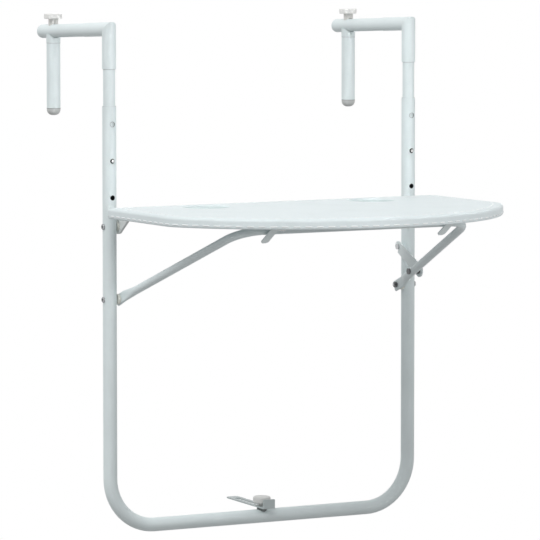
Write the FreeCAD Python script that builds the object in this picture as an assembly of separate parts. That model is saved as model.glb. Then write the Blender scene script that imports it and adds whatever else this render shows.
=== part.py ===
import FreeCAD, Part
import math
import os

# Folding balcony table that hangs on a railing. All sizes are in millimetres.
# The origin lies midway between the hooks, in the plane of the uprights,
# at the underside of the hook tubes. +X is right, +Y goes to the railing, +Z is up.

V = FreeCAD.Vector
RIGHT = V(1, 0, 0)
BACK = V(0, 1, 0)
UP = V(0, 0, 1)
SIDES = {"left": -1, "right": 1}

# Round tubes
TUBE_D = 22.0
TUBE_WALL = 1.2
INNER_TUBE_WALL = 1.2
BRACE_TUBE_D = 13.0
BRACE_TUBE_WALL = 1.2
CAP_ROUND_SHARE = 0.95

# Room left in the fits
SLIDE_GAP = 0.3
FIXED_GAP = 0.05
PIVOT_GAP = 0.08
FACE_GAP = 0.3
STOP_GAP = 0.7

# Stack of heights, from the foot up to the hooks
TABLE_HEIGHT = 519.5
UPRIGHT_RISE = 156.2
HOOK_RISE = 109.3

# Table panel
TABLE_WIDTH = 600.0
TABLE_DEPTH = 389.5
TABLE_SIDE_LENGTH = 207.0
TABLE_THICKNESS = 16.0
TABLE_REAR_GAP = 36.0
TABLE_REAR_CORNER_R = 12.0
TABLE_SIDE_CORNER_R = 60.0
TABLE_TOP_EDGE_R = 5.0
TABLE_LOWER_EDGE_R = 2.5
TABLE_SKIN = 3.5
BLOW_HOLE_R = 4.0
BLOW_HOLE_INSET = 45.0
CUP_D = 75.0
CUP_DEPTH = 8.0
CUP_LIP_R = 3.0
CUP_FLOOR_R = 3.0
CUP_INSET = 150.0
CUP_REAR_DISTANCE = 53.5
POST_R = 7.0

# Lower frame
UPRIGHT_INSET = 26.0
FRAME_BEND_R = 78.0
HOLE_D = 8.0
HOLE_PITCH = 57.5
HOLE_ROWS = 3
TOP_HOLE_DROP = 28.0

# Hooks and telescopic tubes
HOOK_REACH = 191.0
HOOK_OVERHANG = 34.0
HOOK_DROOP_DEG = 2.5
HOOK_CAP_LENGTH = 7.0
HOOK_CAP_EDGE_R = 6.0
HOOK_PLUG_LENGTH = 12.0
INNER_TUBE_TAIL = 30.0
INNER_TUBE_TOP_DROP = 8.0

# Railing clamps
CLAMP_TUBE_LENGTH = 104.5
CLAMP_TRAVEL = 110.0
CLAMP_BACK_TRAVEL = 8.0
SADDLE_DROP = 8.0
SADDLE_EAR_RISE = 5.5
SADDLE_PLUG_LENGTH = 14.0
CLAMP_CAP_LENGTH = 11.0
CLAMP_CAP_EDGE_R = 9.0
CLAMP_PLUG_LENGTH = 10.0
COLLAR_D = 15.5
COLLAR_RISE = 8.0
CLAMP_BOLT_D = 6.0
CLAMP_BOLT_END = 2.0
SLOT_ROOM = 0.5

# Lobed knobs
KNOB_D = 30.0
KNOB_HEIGHT = 8.0
KNOB_LOBES = 5
KNOB_LOBE_R = 5.0
KNOB_VALLEY_R = 4.0
KNOB_EDGE_R = 1.2
KNOB_SKIN = 2.5

# Snap buttons
BUTTON_ROOM = 0.7
BUTTON_STAND = 1.6
BUTTON_EDGE_R = 1.4
BUTTON_FLANGE = 1.4
BUTTON_FLANGE_T = 1.0
SPRING_WIDTH = 5.0
SPRING_T = 0.6
SPRING_BEND = 1.8
SPRING_LENGTH = 24.0
SPRING_TAIL_RISE = 5.0

# Table hinge
TABLE_PIVOT_DROP = 16.5
PIVOT_SCREW_D = 5.0
PIVOT_HEAD_D = 9.5
PIVOT_HEAD_T = 2.0
HEAD_ROUND_SHARE = 0.6
CROSS_LENGTH = 5.0
CROSS_WIDTH = 1.4
CROSS_DEPTH = 1.0
HINGE_SPACER_T = 3.0
HINGE_SPACER_D = 14.0
LUG_R = 12.0
LUG_T = 4.0
FLANGE_T = 4.0
FLANGE_WIDTH = 28.0
FLANGE_LENGTH = 60.0
FLANGE_SCREW_END = 12.0

# Hexagon nuts
NUT_FLATS = 8.0
NUT_T = 4.5
CLAMP_NUT_FLATS = 10.0
CLAMP_NUT_T = 5.0
THREAD_END = 1.0

# Wood-type screws into the panel
PANEL_SCREW_D = 4.0
PANEL_SCREW_HEAD_D = 8.0
PANEL_SCREW_HEAD_T = 2.4
PANEL_SCREW_BITE = 9.0

# Brace
BRACE_PIVOT_DROP = 114.6
BRACE_LENGTH = 321.0
BRACE_LEAN = 51.0
BRACE_BEND_R = 46.0
BRACE_FLAT_T = 5.5
BRACE_FLAT_LENGTH = 16.0
BRACE_BLEND_LENGTH = 26.0
BRACE_SPACER_T = 5.0
BRACE_SPACER_D = 16.5

# Catch hooks under the panel
CATCH_WIDTH = 13.0
CATCH_T = 2.0
CATCH_ANGLE_DEG = 34.0
CATCH_FINGER_LENGTH = 46.0
CATCH_FLANGE_LENGTH = 30.0
CATCH_SCREW_END = 9.0
CATCH_TIP_R = 5.5
CATCH_GAP = 2.5
CATCH_INSET = 46.0

# Brace latch on the right arm
LATCH_T = 2.0
LATCH_STAND = 4.5
LATCH_BOLT_ALONG = 70.0
LATCH_BOLT_D = 6.0
LATCH_BOLT_END_R = 10.0
LATCH_HEAD_D = 10.0
LATCH_HEAD_T = 2.0
LATCH_SHOULDER_D = 9.0
LATCH_STUD_RISE = 61.6
LATCH_STUD_D = 6.0
LATCH_STUD_HEAD_D = 9.0
LATCH_HOOK_END_R = 9.0
LATCH_MOUTH_DEG = 38.0

# Stand-off on the bottom tube
STRIP_WIDTH = 21.0
STRIP_T = 2.0
STRIP_BACK_REACH = 100.0
STRIP_FRONT_REACH = 24.0
STRIP_TAB_HEIGHT = 15.0
STRIP_CORNER_R = 5.0
STRIP_TAB_CORNER_R = 1.5
STRIP_SLOT_END = 18.0
STRIP_SLOT_FRONT = 9.0
STUD_D = 6.0
SEAT_D = 16.0
SEAT_RISE = 3.5
STANDOFF_KNOB_D = 28.4
STANDOFF_KNOB_HEIGHT = 10.5
STANDOFF_KNOB_EDGE_R = 2.5
STANDOFF_NECK_D = 12.0
STANDOFF_NECK_HEIGHT = 4.0
STANDOFF_TILT_DEG = 1.7

# Radii that follow from the sizes above
TUBE_R = TUBE_D / 2
BORE_R = TUBE_R - TUBE_WALL
INNER_TUBE_R = BORE_R - SLIDE_GAP
INNER_BORE_R = INNER_TUBE_R - INNER_TUBE_WALL
HOOK_BORE_R = INNER_TUBE_R + FIXED_GAP
BRACE_R = BRACE_TUBE_D / 2
CUP_R = CUP_D / 2
HOLE_R = HOLE_D / 2
BUTTON_R = HOLE_R - BUTTON_ROOM
PIVOT_R = PIVOT_SCREW_D / 2
CLAMP_BOLT_R = CLAMP_BOLT_D / 2
STUD_R = STUD_D / 2
LATCH_STUD_R = LATCH_STUD_D / 2
LATCH_BOLT_R = LATCH_BOLT_D / 2
PANEL_SCREW_R = PANEL_SCREW_D / 2

# Levels
Z_HOOK_AXIS = TUBE_R
Z_UPRIGHT_TOP = -HOOK_RISE
Z_TABLE_TOP = Z_UPRIGHT_TOP - UPRIGHT_RISE
Z_TABLE_UNDER = Z_TABLE_TOP - TABLE_THICKNESS
Z_TABLE_PIVOT = Z_TABLE_UNDER - TABLE_PIVOT_DROP
Z_BRACE_PIVOT = Z_TABLE_PIVOT - BRACE_PIVOT_DROP
Z_LATCH_STUD = Z_BRACE_PIVOT + LATCH_STUD_RISE
Z_BOTTOM_TUBE = Z_TABLE_TOP - TABLE_HEIGHT + TUBE_R
Z_HOLES = [Z_UPRIGHT_TOP - TOP_HOLE_DROP - row * HOLE_PITCH for row in range(HOLE_ROWS)]
Z_BUTTON = Z_HOLES[1]
Z_SLEEVE_BOTTOM = Z_UPRIGHT_TOP + HOLE_PITCH + STOP_GAP
Z_SEAT_TOP = Z_BOTTOM_TUBE + TUBE_R + SEAT_RISE
Z_STRIP = Z_SEAT_TOP + FACE_GAP

# Places across the table
UPRIGHT_X = TABLE_WIDTH / 2 - UPRIGHT_INSET
INNER_FACE_X = UPRIGHT_X - TUBE_R
LUG_OUTER_X = INNER_FACE_X - HINGE_SPACER_T
LUG_INNER_X = LUG_OUTER_X - LUG_T
ARM_OUTER_X = INNER_FACE_X - BRACE_SPACER_T
ARM_X = ARM_OUTER_X - BRACE_FLAT_T / 2
ARM_INNER_X = ARM_OUTER_X - BRACE_FLAT_T
BRACE_CORNER_X = ARM_X - BRACE_LEAN
CATCH_X = BRACE_CORNER_X - CATCH_INSET
LATCH_BOLT_X = ARM_X - BRACE_LEAN * LATCH_BOLT_ALONG / BRACE_LENGTH
LATCH_INNER_X = LATCH_BOLT_X + BRACE_R + LATCH_STAND
LATCH_OUTER_X = LATCH_INNER_X + LATCH_T

# Places from front to back
TABLE_REAR_Y = -TABLE_REAR_GAP
TABLE_FRONT_Y = TABLE_REAR_Y - TABLE_DEPTH
TABLE_SIDE_END_Y = TABLE_REAR_Y - TABLE_SIDE_LENGTH
FLANGE_FRONT_Y = TABLE_REAR_Y - FLANGE_LENGTH
HOOK_LENGTH = HOOK_REACH + HOOK_OVERHANG
HOOK_DIRECTION = V(0, math.cos(math.radians(HOOK_DROOP_DEG)), -math.sin(math.radians(HOOK_DROOP_DEG)))

# The crossbar of the brace lies just under the panel
Z_CROSSBAR = Z_TABLE_UNDER - FACE_GAP - BRACE_R
BRACE_ANGLE = math.asin((Z_CROSSBAR - Z_BRACE_PIVOT) / BRACE_LENGTH)
CROSSBAR_Y = -BRACE_LENGTH * math.cos(BRACE_ANGLE)

# A flattened tube keeps the outline length of the round one
BRACE_FLAT_WIDTH = BRACE_FLAT_T + math.pi * (BRACE_TUBE_D - BRACE_FLAT_T) / 2


def rod(start, direction, length, radius):
    """Round bar from a start point along a direction."""
    return Part.makeCylinder(radius, length, start, direction)


def ring(start, direction, length, outer_radius, inner_radius):
    """Straight tube from a start point along a direction."""
    return rod(start, direction, length, outer_radius).cut(rod(start, direction, length, inner_radius))


def prism(points, direction):
    """Solid with straight-sided outline."""
    return Part.Face(Part.makePolygon(points + points[:1])).extrude(direction)


def hexagon(start, direction, height, across_flats):
    """Hexagonal bar from a start point along a direction."""
    corner_radius = across_flats / math.sqrt(3)
    corners = [V(corner_radius * math.cos(math.radians(60 * k)),
                 corner_radius * math.sin(math.radians(60 * k)), 0) for k in range(6)]
    bar = prism(corners, UP * height)
    bar.Placement = FreeCAD.Placement(start, FreeCAD.Rotation(UP, direction))
    return bar


def bent_rod(corners, bend_radius, radius):
    """Round bar whose straight runs are joined by tangent arcs."""
    edges = []
    start = corners[0]
    for before, corner, after in zip(corners, corners[1:], corners[2:]):
        to_before = (before - corner).normalize()
        to_after = (after - corner).normalize()
        half_angle = to_before.getAngle(to_after) / 2
        setback = bend_radius / math.tan(half_angle)
        bisector = (to_before + to_after).normalize()
        first = corner + to_before * setback
        last = corner + to_after * setback
        middle = corner + bisector * (bend_radius / math.sin(half_angle) - bend_radius)
        edges.append(Part.LineSegment(start, first).toShape())
        edges.append(Part.Arc(first, middle, last).toShape())
        start = last
    edges.append(Part.LineSegment(start, corners[-1]).toShape())
    section = Part.Wire(Part.makeCircle(radius, corners[0], corners[1] - corners[0]))
    return Part.Wire(edges).makePipeShell([section], True, False)


def mitred_rod(corners, radius):
    """Round bar with sharp mitred corners."""
    section = Part.Wire(Part.makeCircle(radius, corners[0], corners[1] - corners[0]))
    right_corner = 1
    return Part.makePolygon(corners).makePipeShell([section], True, False, right_corner)


def mirrored(shape, side):
    """Shape built for the right, placed on the wanted side."""
    if side > 0:
        return shape
    return shape.mirror(V(0, 0, 0), RIGHT)


def edges_near(shape, point, reach):
    """Edges whose middle lies within reach of a point."""
    return [edge for edge in shape.Edges if edge.CenterOfMass.distanceToPoint(point) < reach]


def domed_plug(radius, dome_length, edge_radius, plug_radius, plug_length):
    """Tube end cap along +Y: dome outside, plug inside."""
    dome = rod(V(0, 0, 0), BACK, dome_length, radius)
    rim = edges_near(dome, V(0, dome_length, 0), edge_radius / 2)
    dome = dome.makeFillet(min(edge_radius, dome_length * CAP_ROUND_SHARE), rim)
    return dome.fuse(rod(V(0, -plug_length, 0), BACK, plug_length, plug_radius))


def lobed_knob(height, bore_radius, bore_depth):
    """Knob with rounded lobes, standing on z = 0, with a blind bore from below."""
    lobe_centre = KNOB_D / 2 - KNOB_LOBE_R
    half_step = math.pi / KNOB_LOBES
    reach = KNOB_LOBE_R + KNOB_VALLEY_R
    side = lobe_centre * math.sin(half_step)
    valley_centre = lobe_centre * math.cos(half_step) + math.sqrt(reach ** 2 - side ** 2)

    def polar(radius, angle):
        return V(radius * math.cos(angle), radius * math.sin(angle), 0)

    def tangent_point(lobe_angle, valley_angle):
        lobe = polar(lobe_centre, lobe_angle)
        valley = polar(valley_centre, valley_angle)
        return lobe + (valley - lobe) * (KNOB_LOBE_R / reach)

    edges = []
    for lobe in range(KNOB_LOBES):
        angle = 2 * half_step * lobe
        start = tangent_point(angle, angle - half_step)
        end = tangent_point(angle, angle + half_step)
        following = tangent_point(angle + 2 * half_step, angle + half_step)
        edges.append(Part.Arc(start, polar(KNOB_D / 2, angle), end).toShape())
        valley_floor = polar(valley_centre - KNOB_VALLEY_R, angle + half_step)
        edges.append(Part.Arc(end, valley_floor, following).toShape())
    head = Part.Face(Part.Wire(edges)).extrude(UP * height)
    level_edges = [edge for edge in head.Edges if edge.BoundBox.ZLength < height / 2]
    head = head.makeFillet(KNOB_EDGE_R, level_edges)
    return head.cut(rod(V(0, 0, 0), UP, bore_depth, bore_radius))


def cross_screw(start, direction, length, radius, head_radius, head_height):
    """Pan-head screw; start is the middle of the head's seat, direction runs along the shank."""
    head = rod(V(0, 0, -head_height), UP, head_height, head_radius)
    top = edges_near(head, V(0, 0, -head_height), head_height / 2)
    head = head.makeFillet(head_height * HEAD_ROUND_SHARE, top)
    for turn in (0, 90):
        slot = Part.makeBox(CROSS_LENGTH, CROSS_WIDTH, CROSS_DEPTH,
                            V(-CROSS_LENGTH / 2, -CROSS_WIDTH / 2, -head_height))
        slot.rotate(V(0, 0, 0), UP, turn)
        head = head.cut(slot)
    screw = head.fuse(rod(V(0, 0, 0), UP, length, radius))
    screw.Placement = FreeCAD.Placement(start, FreeCAD.Rotation(UP, direction))
    return screw


def on_hook(shape, side):
    """Place a shape built on a level hook axis, which starts at the corner above the upright."""
    placed = shape.copy()
    placed.rotate(V(0, 0, 0), RIGHT, -HOOK_DROOP_DEG)
    placed.translate(V(side * UPRIGHT_X, 0, Z_HOOK_AXIS))
    return placed


def on_brace(shape):
    """Place a shape built on a level brace that points to the front from its pivot axis."""
    placed = shape.copy()
    placed.rotate(V(0, 0, 0), RIGHT, -math.degrees(BRACE_ANGLE))
    placed.translate(V(0, 0, Z_BRACE_PIVOT))
    return placed


def brace_point(along, rise):
    """Y and Z of a place on the brace: along the arm and square to it."""
    y = -along * math.cos(BRACE_ANGLE) + rise * math.sin(BRACE_ANGLE)
    z = Z_BRACE_PIVOT + along * math.sin(BRACE_ANGLE) + rise * math.cos(BRACE_ANGLE)
    return y, z


def pivot_hole(x, z, length, radius):
    """Round cutter along X, centred on x in the plane of the uprights."""
    return rod(V(x - length / 2, 0, z), RIGHT, length, radius)


def at_standoff(shape):
    """Shape turned about the bottom tube, so that the stand-off points slightly up."""
    shape.rotate(V(0, 0, Z_BOTTOM_TUBE), RIGHT, STANDOFF_TILT_DEG)
    return shape


def lower_frame():
    """One bent tube: two uprights and the bottom rail, with all its holes."""
    corners = [V(-UPRIGHT_X, 0, Z_UPRIGHT_TOP), V(-UPRIGHT_X, 0, Z_BOTTOM_TUBE),
               V(UPRIGHT_X, 0, Z_BOTTOM_TUBE), V(UPRIGHT_X, 0, Z_UPRIGHT_TOP)]
    tube = bent_rod(corners, FRAME_BEND_R, TUBE_R).cut(bent_rod(corners, FRAME_BEND_R, BORE_R))
    cutters = [at_standoff(rod(V(0, 0, Z_BOTTOM_TUBE), UP, TUBE_D, STUD_R + FIXED_GAP)),
               rod(V(UPRIGHT_X, 0, Z_LATCH_STUD), -RIGHT, TUBE_D, LATCH_STUD_R + FIXED_GAP)]
    for side in SIDES.values():
        for z in Z_HOLES:
            cutters.append(rod(V(side * UPRIGHT_X, 0, z), -BACK, TUBE_D, HOLE_R))
        for z in (Z_TABLE_PIVOT, Z_BRACE_PIVOT):
            cutters.append(pivot_hole(side * UPRIGHT_X, z, 2 * TUBE_D, PIVOT_R + FIXED_GAP))
    return tube.cut(Part.makeCompound(cutters))


def inner_tube(side):
    """Telescopic tube between the upright and the hook, with a hole for the snap button."""
    bottom = Z_BUTTON - INNER_TUBE_TAIL
    length = -INNER_TUBE_TOP_DROP - bottom
    tube = ring(V(side * UPRIGHT_X, 0, bottom), UP, length, INNER_TUBE_R, INNER_BORE_R)
    return tube.cut(rod(V(side * UPRIGHT_X, 0, Z_BUTTON), -BACK, TUBE_D, HOLE_R))


def hook_slot():
    """Cutter for the clamp bolt, from top to bottom through the hook tube."""
    half_width = CLAMP_BOLT_R + SLOT_ROOM
    front = HOOK_REACH - CLAMP_TRAVEL
    length = CLAMP_TRAVEL + CLAMP_BACK_TRAVEL
    low = -TUBE_D
    slot = Part.makeBox(2 * half_width, length, 2 * TUBE_D, V(-half_width, front, low))
    for y in (front, front + length):
        slot = slot.fuse(rod(V(0, y, low), UP, 2 * TUBE_D, half_width))
    return slot


def hook_arm(side):
    """Sleeve and hook tube in one piece, mitred at the corner and slotted for the clamp bolt."""
    corner = V(side * UPRIGHT_X, 0, Z_HOOK_AXIS)
    end = corner + HOOK_DIRECTION * HOOK_LENGTH
    corners = [V(side * UPRIGHT_X, 0, Z_SLEEVE_BOTTOM), corner, end]
    tube = mitred_rod(corners, TUBE_R).cut(mitred_rod(corners, HOOK_BORE_R))
    return tube.cut(on_hook(hook_slot(), side))


def hook_end_cap(side):
    """Domed plug in the free end of the hook tube."""
    cap = domed_plug(TUBE_R, HOOK_CAP_LENGTH, HOOK_CAP_EDGE_R, HOOK_BORE_R - FIXED_GAP, HOOK_PLUG_LENGTH)
    cap.translate(V(0, HOOK_LENGTH, 0))
    return on_hook(cap, side)


def at_clamp(shape, side):
    """Place a shape built round the upright clamp axis, with the hook tube's axis at height zero."""
    placed = shape.copy()
    placed.translate(V(side * UPRIGHT_X, 0, Z_HOOK_AXIS) + HOOK_DIRECTION * HOOK_REACH)
    return placed


def clamp_hole():
    """Cutter for the clamp bolt's running hole."""
    return rod(UP * -CLAMP_TUBE_LENGTH, UP, 2 * CLAMP_TUBE_LENGTH, CLAMP_BOLT_R + PIVOT_GAP)


def hook_room():
    """Cutter that keeps a sliding piece clear of the hook tube."""
    return rod(HOOK_DIRECTION * -HOOK_LENGTH, HOOK_DIRECTION, 2 * HOOK_LENGTH, TUBE_R + FACE_GAP)


SADDLE_BOTTOM = -TUBE_R - SADDLE_DROP
CLAMP_BOTTOM = SADDLE_BOTTOM - CLAMP_TUBE_LENGTH


def clamp_saddle(side):
    """Collar that cups the hook tube from below and plugs into the clamp tube."""
    collar = rod(UP * SADDLE_BOTTOM, UP, SADDLE_DROP + SADDLE_EAR_RISE, TUBE_R + FACE_GAP)
    plug = rod(UP * (SADDLE_BOTTOM - SADDLE_PLUG_LENGTH), UP, SADDLE_PLUG_LENGTH, BORE_R - FIXED_GAP)
    return at_clamp(collar.fuse(plug).cut(hook_room()).cut(clamp_hole()), side)


def clamp_tube(side):
    """Tube that presses on the far side of the railing."""
    return at_clamp(ring(UP * CLAMP_BOTTOM, UP, CLAMP_TUBE_LENGTH, TUBE_R, BORE_R), side)


def clamp_end_cap(side):
    """Domed plug in the lower end of the clamp tube."""
    cap = domed_plug(TUBE_R, CLAMP_CAP_LENGTH, CLAMP_CAP_EDGE_R, BORE_R - FIXED_GAP, CLAMP_PLUG_LENGTH)
    cap.rotate(V(0, 0, 0), RIGHT, -90)
    cap.translate(UP * CLAMP_BOTTOM)
    return at_clamp(cap, side)


NUT_TOP = SADDLE_BOTTOM - SADDLE_PLUG_LENGTH
COLLAR_TOP = TUBE_R + COLLAR_RISE
KNOB_SEAT = COLLAR_TOP + FACE_GAP


def clamp_nut(side):
    """Hexagon nut under the saddle, inside the clamp tube."""
    nut = hexagon(UP * (NUT_TOP - CLAMP_NUT_T), UP, CLAMP_NUT_T, CLAMP_NUT_FLATS)
    return at_clamp(nut.cut(clamp_hole()), side)


def clamp_collar(side):
    """Grey collar that sits astride the hook tube under the knob."""
    collar = rod(V(0, 0, 0), UP, COLLAR_TOP, COLLAR_D / 2)
    return at_clamp(collar.cut(hook_room()).cut(clamp_hole()), side)


def clamp_knob(side):
    """Lobed knob on top of the hook tube."""
    knob = lobed_knob(KNOB_HEIGHT, CLAMP_BOLT_R + FIXED_GAP, KNOB_HEIGHT - KNOB_SKIN)
    knob.translate(UP * KNOB_SEAT)
    return at_clamp(knob, side)


def clamp_bolt(side):
    """Bolt from the knob through the hook tube into the nut."""
    bottom = NUT_TOP - CLAMP_NUT_T - CLAMP_BOLT_END
    top = KNOB_SEAT + KNOB_HEIGHT - KNOB_SKIN
    return at_clamp(rod(UP * bottom, UP, top - bottom, CLAMP_BOLT_R), side)


def button_flange_y():
    """Front of the button's flange, just inside the curved wall of the inner tube."""
    flange_radius = BUTTON_R + BUTTON_FLANGE
    return -math.sqrt(INNER_BORE_R ** 2 - flange_radius ** 2) + FACE_GAP


def snap_button(side):
    """Domed button that locks the telescopic tube in one of the upright's holes."""
    tip = TUBE_R + BUTTON_STAND
    flange_y = button_flange_y()
    stem = rod(V(0, -tip, 0), BACK, tip + flange_y, BUTTON_R)
    stem = stem.makeFillet(BUTTON_EDGE_R, edges_near(stem, V(0, -tip, 0), BUTTON_STAND / 2))
    flange = rod(V(0, flange_y, 0), BACK, BUTTON_FLANGE_T, BUTTON_R + BUTTON_FLANGE)
    button = stem.fuse(flange)
    button.translate(V(side * UPRIGHT_X, 0, Z_BUTTON))
    return button


def button_spring(side):
    """Leaf spring bent to a V: one leg behind the button, the other on the tube's back wall."""
    front = button_flange_y() + BUTTON_FLANGE_T
    half = SPRING_WIDTH / 2
    back = math.sqrt(INNER_BORE_R ** 2 - half ** 2) - FIXED_GAP
    top = BUTTON_R + SPRING_TAIL_RISE
    low = -SPRING_LENGTH
    middle = (front + back) / 2
    outline = [V(-half, front, -BUTTON_R), V(-half, front, top), V(-half, front + SPRING_T, top),
               V(-half, front + SPRING_T, -BUTTON_R), V(-half, middle, low + SPRING_BEND),
               V(-half, back - SPRING_T, -BUTTON_R), V(-half, back - SPRING_T, top), V(-half, back, top),
               V(-half, back, -BUTTON_R), V(-half, middle + SPRING_T, low), V(-half, middle - SPRING_T, low)]
    spring = prism(outline, RIGHT * SPRING_WIDTH)
    spring.translate(V(side * UPRIGHT_X, 0, Z_BUTTON))
    return spring


def table_blank():
    """Half-round slab: straight rear edge and sides, one front arc, softened corners."""
    half = TABLE_WIDTH / 2
    rear_left = V(-half, TABLE_REAR_Y, Z_TABLE_UNDER)
    rear_right = V(half, TABLE_REAR_Y, Z_TABLE_UNDER)
    side_right = V(half, TABLE_SIDE_END_Y, Z_TABLE_UNDER)
    side_left = V(-half, TABLE_SIDE_END_Y, Z_TABLE_UNDER)
    front = V(0, TABLE_FRONT_Y, Z_TABLE_UNDER)
    edges = [Part.LineSegment(side_left, rear_left).toShape(),
             Part.LineSegment(rear_left, rear_right).toShape(),
             Part.LineSegment(rear_right, side_right).toShape(),
             Part.Arc(side_right, front, side_left).toShape()]
    slab = Part.Face(Part.Wire(edges)).extrude(UP * TABLE_THICKNESS)
    upright_edges = [edge for edge in slab.Edges if edge.BoundBox.ZLength > TABLE_THICKNESS / 2]
    sides = [edge for edge in upright_edges if edge.CenterOfMass.y < TABLE_REAR_Y - TABLE_SIDE_LENGTH / 2]
    slab = slab.makeFillet(TABLE_SIDE_CORNER_R, sides)
    rear = [edge for edge in slab.Edges if edge.BoundBox.ZLength > TABLE_THICKNESS / 2
            and edge.CenterOfMass.y > TABLE_REAR_Y - TABLE_REAR_CORNER_R / 2]
    return slab.makeFillet(TABLE_REAR_CORNER_R, rear)


def cup_place(side):
    """Middle of one round cup recess, on the panel's underside."""
    return V(side * (TABLE_WIDTH / 2 - CUP_INSET), TABLE_REAR_Y - CUP_REAR_DISTANCE, Z_TABLE_UNDER)


def cup_recess(side):
    """Cutter for one round cup recess with a rounded floor edge."""
    floor = TABLE_THICKNESS - CUP_DEPTH
    blank = rod(cup_place(side) + UP * floor, UP, TABLE_THICKNESS, CUP_R)
    low = [edge for edge in blank.Edges if edge.BoundBox.ZMax < Z_TABLE_UNDER + floor + FIXED_GAP]
    return blank.makeFillet(CUP_FLOOR_R, low)


def flange_screw_places():
    """Middles of the hinge bracket screws on the panel's underside."""
    x = LUG_OUTER_X - FLANGE_WIDTH / 2
    ys = (TABLE_REAR_Y - FLANGE_SCREW_END, FLANGE_FRONT_Y + FLANGE_SCREW_END)
    return [V(side * x, y, Z_TABLE_UNDER) for side in SIDES.values() for y in ys]


def catch_root_y():
    """Y of the bend where the catch finger leaves the panel's underside."""
    angle = math.radians(CATCH_ANGLE_DEG)
    away = BRACE_R + CATCH_GAP
    line_y = CROSSBAR_Y - away * math.sin(angle)
    line_z = Z_CROSSBAR - away * math.cos(angle)
    return line_y - (Z_TABLE_UNDER - line_z) / math.tan(angle)


def catch_screw_places():
    """Middles of the catch hook screws on the panel's underside."""
    root = catch_root_y()
    ys = (root - CATCH_SCREW_END, root - CATCH_FLANGE_LENGTH + CATCH_SCREW_END)
    return [V(side * CATCH_X, y, Z_TABLE_UNDER) for side in SIDES.values() for y in ys]


def table_cavity():
    """Hollow of the blow-moulded panel, with solid posts left around the screws and under the cups."""
    outline = [face for face in table_blank().Faces if face.CenterOfMass.z < Z_TABLE_UNDER + FIXED_GAP][0]
    core = outline.makeOffset2D(-2 * TABLE_SKIN).extrude(UP * (TABLE_THICKNESS - 2 * TABLE_SKIN))
    core.translate(UP * TABLE_SKIN)
    screws = flange_screw_places() + catch_screw_places()
    posts = [rod(place, UP, TABLE_THICKNESS, POST_R) for place in screws]
    posts += [rod(cup_place(side), UP, TABLE_THICKNESS, CUP_R + TABLE_SKIN) for side in SIDES.values()]
    return core.cut(Part.makeCompound(posts))


def tabletop():
    """Moulded half-round panel with rounded rim, two cup recesses and a blow hole below."""
    slab = table_blank()
    top = [edge for edge in slab.Edges if edge.BoundBox.ZMin > Z_TABLE_TOP - FIXED_GAP]
    slab = slab.makeFillet(TABLE_TOP_EDGE_R, top)
    low = [edge for edge in slab.Edges if edge.BoundBox.ZMax < Z_TABLE_UNDER + FIXED_GAP]
    slab = slab.makeFillet(TABLE_LOWER_EDGE_R, low)
    holes = [rod(place, UP, PANEL_SCREW_BITE, PANEL_SCREW_R + FIXED_GAP)
             for place in flange_screw_places() + catch_screw_places()]
    blow_hole = rod(V(0, TABLE_REAR_Y - BLOW_HOLE_INSET, Z_TABLE_UNDER), UP, TABLE_THICKNESS / 2, BLOW_HOLE_R)
    panel = slab.cut(table_cavity()).cut(blow_hole).cut(Part.makeCompound(holes))
    for side in SIDES.values():
        panel = panel.cut(cup_recess(side))
    lips = [edge for edge in panel.Edges if edge.isClosed() and edge.BoundBox.ZMin > Z_TABLE_TOP - FIXED_GAP]
    return panel.makeFillet(CUP_LIP_R, lips)


def hinge_bracket():
    """Plastic lug on the pivot screw with a flange under the panel."""
    pivot = V(LUG_INNER_X, 0, Z_TABLE_PIVOT)
    flange_low = Z_TABLE_UNDER - FLANGE_T
    boss = rod(pivot, RIGHT, LUG_T, LUG_R)
    reach = math.hypot(TABLE_REAR_GAP, TABLE_PIVOT_DROP - FLANGE_T)
    lean = math.atan2(TABLE_PIVOT_DROP - FLANGE_T, TABLE_REAR_GAP) - math.acos(LUG_R / reach)
    low_tangent = pivot + V(0, -LUG_R * math.cos(lean), LUG_R * math.sin(lean))
    top_tangent = pivot + V(0, 0, LUG_R)
    web = prism([pivot, low_tangent, V(LUG_INNER_X, TABLE_REAR_Y, flange_low),
                 V(LUG_INNER_X, TABLE_REAR_Y - FLANGE_T, flange_low),
                 V(LUG_INNER_X, TABLE_REAR_Y - FLANGE_T, Z_TABLE_UNDER),
                 V(LUG_INNER_X, TABLE_REAR_Y, Z_TABLE_UNDER), top_tangent], RIGHT * LUG_T)
    flange = Part.makeBox(FLANGE_WIDTH, FLANGE_LENGTH, FLANGE_T,
                          V(LUG_OUTER_X - FLANGE_WIDTH, FLANGE_FRONT_Y, flange_low))
    bracket = boss.fuse([web, flange]).removeSplitter()
    bracket = bracket.cut(pivot_hole(LUG_INNER_X, Z_TABLE_PIVOT, 4 * LUG_T, PIVOT_R + PIVOT_GAP))
    for place in flange_screw_places():
        bracket = bracket.cut(rod(place, -UP, FLANGE_T, PANEL_SCREW_R + FIXED_GAP))
    return bracket


def panel_screws(places, sheet):
    """Screws up into the panel through a sheet of given thickness."""
    length = sheet + PANEL_SCREW_BITE
    screws = [cross_screw(place - UP * sheet, UP, length, PANEL_SCREW_R, PANEL_SCREW_HEAD_D / 2,
                          PANEL_SCREW_HEAD_T) for place in places]
    return Part.makeCompound(screws)


def pivot_screws(z, end_x):
    """Pair of screws through the uprights, heads outside, ending beyond end_x inside."""
    length = UPRIGHT_X + TUBE_R - end_x + NUT_T + THREAD_END
    screws = [cross_screw(V(side * (UPRIGHT_X + TUBE_R), 0, z), RIGHT * -side, length, PIVOT_R,
                          PIVOT_HEAD_D / 2, PIVOT_HEAD_T) for side in SIDES.values()]
    return Part.makeCompound(screws)


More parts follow.
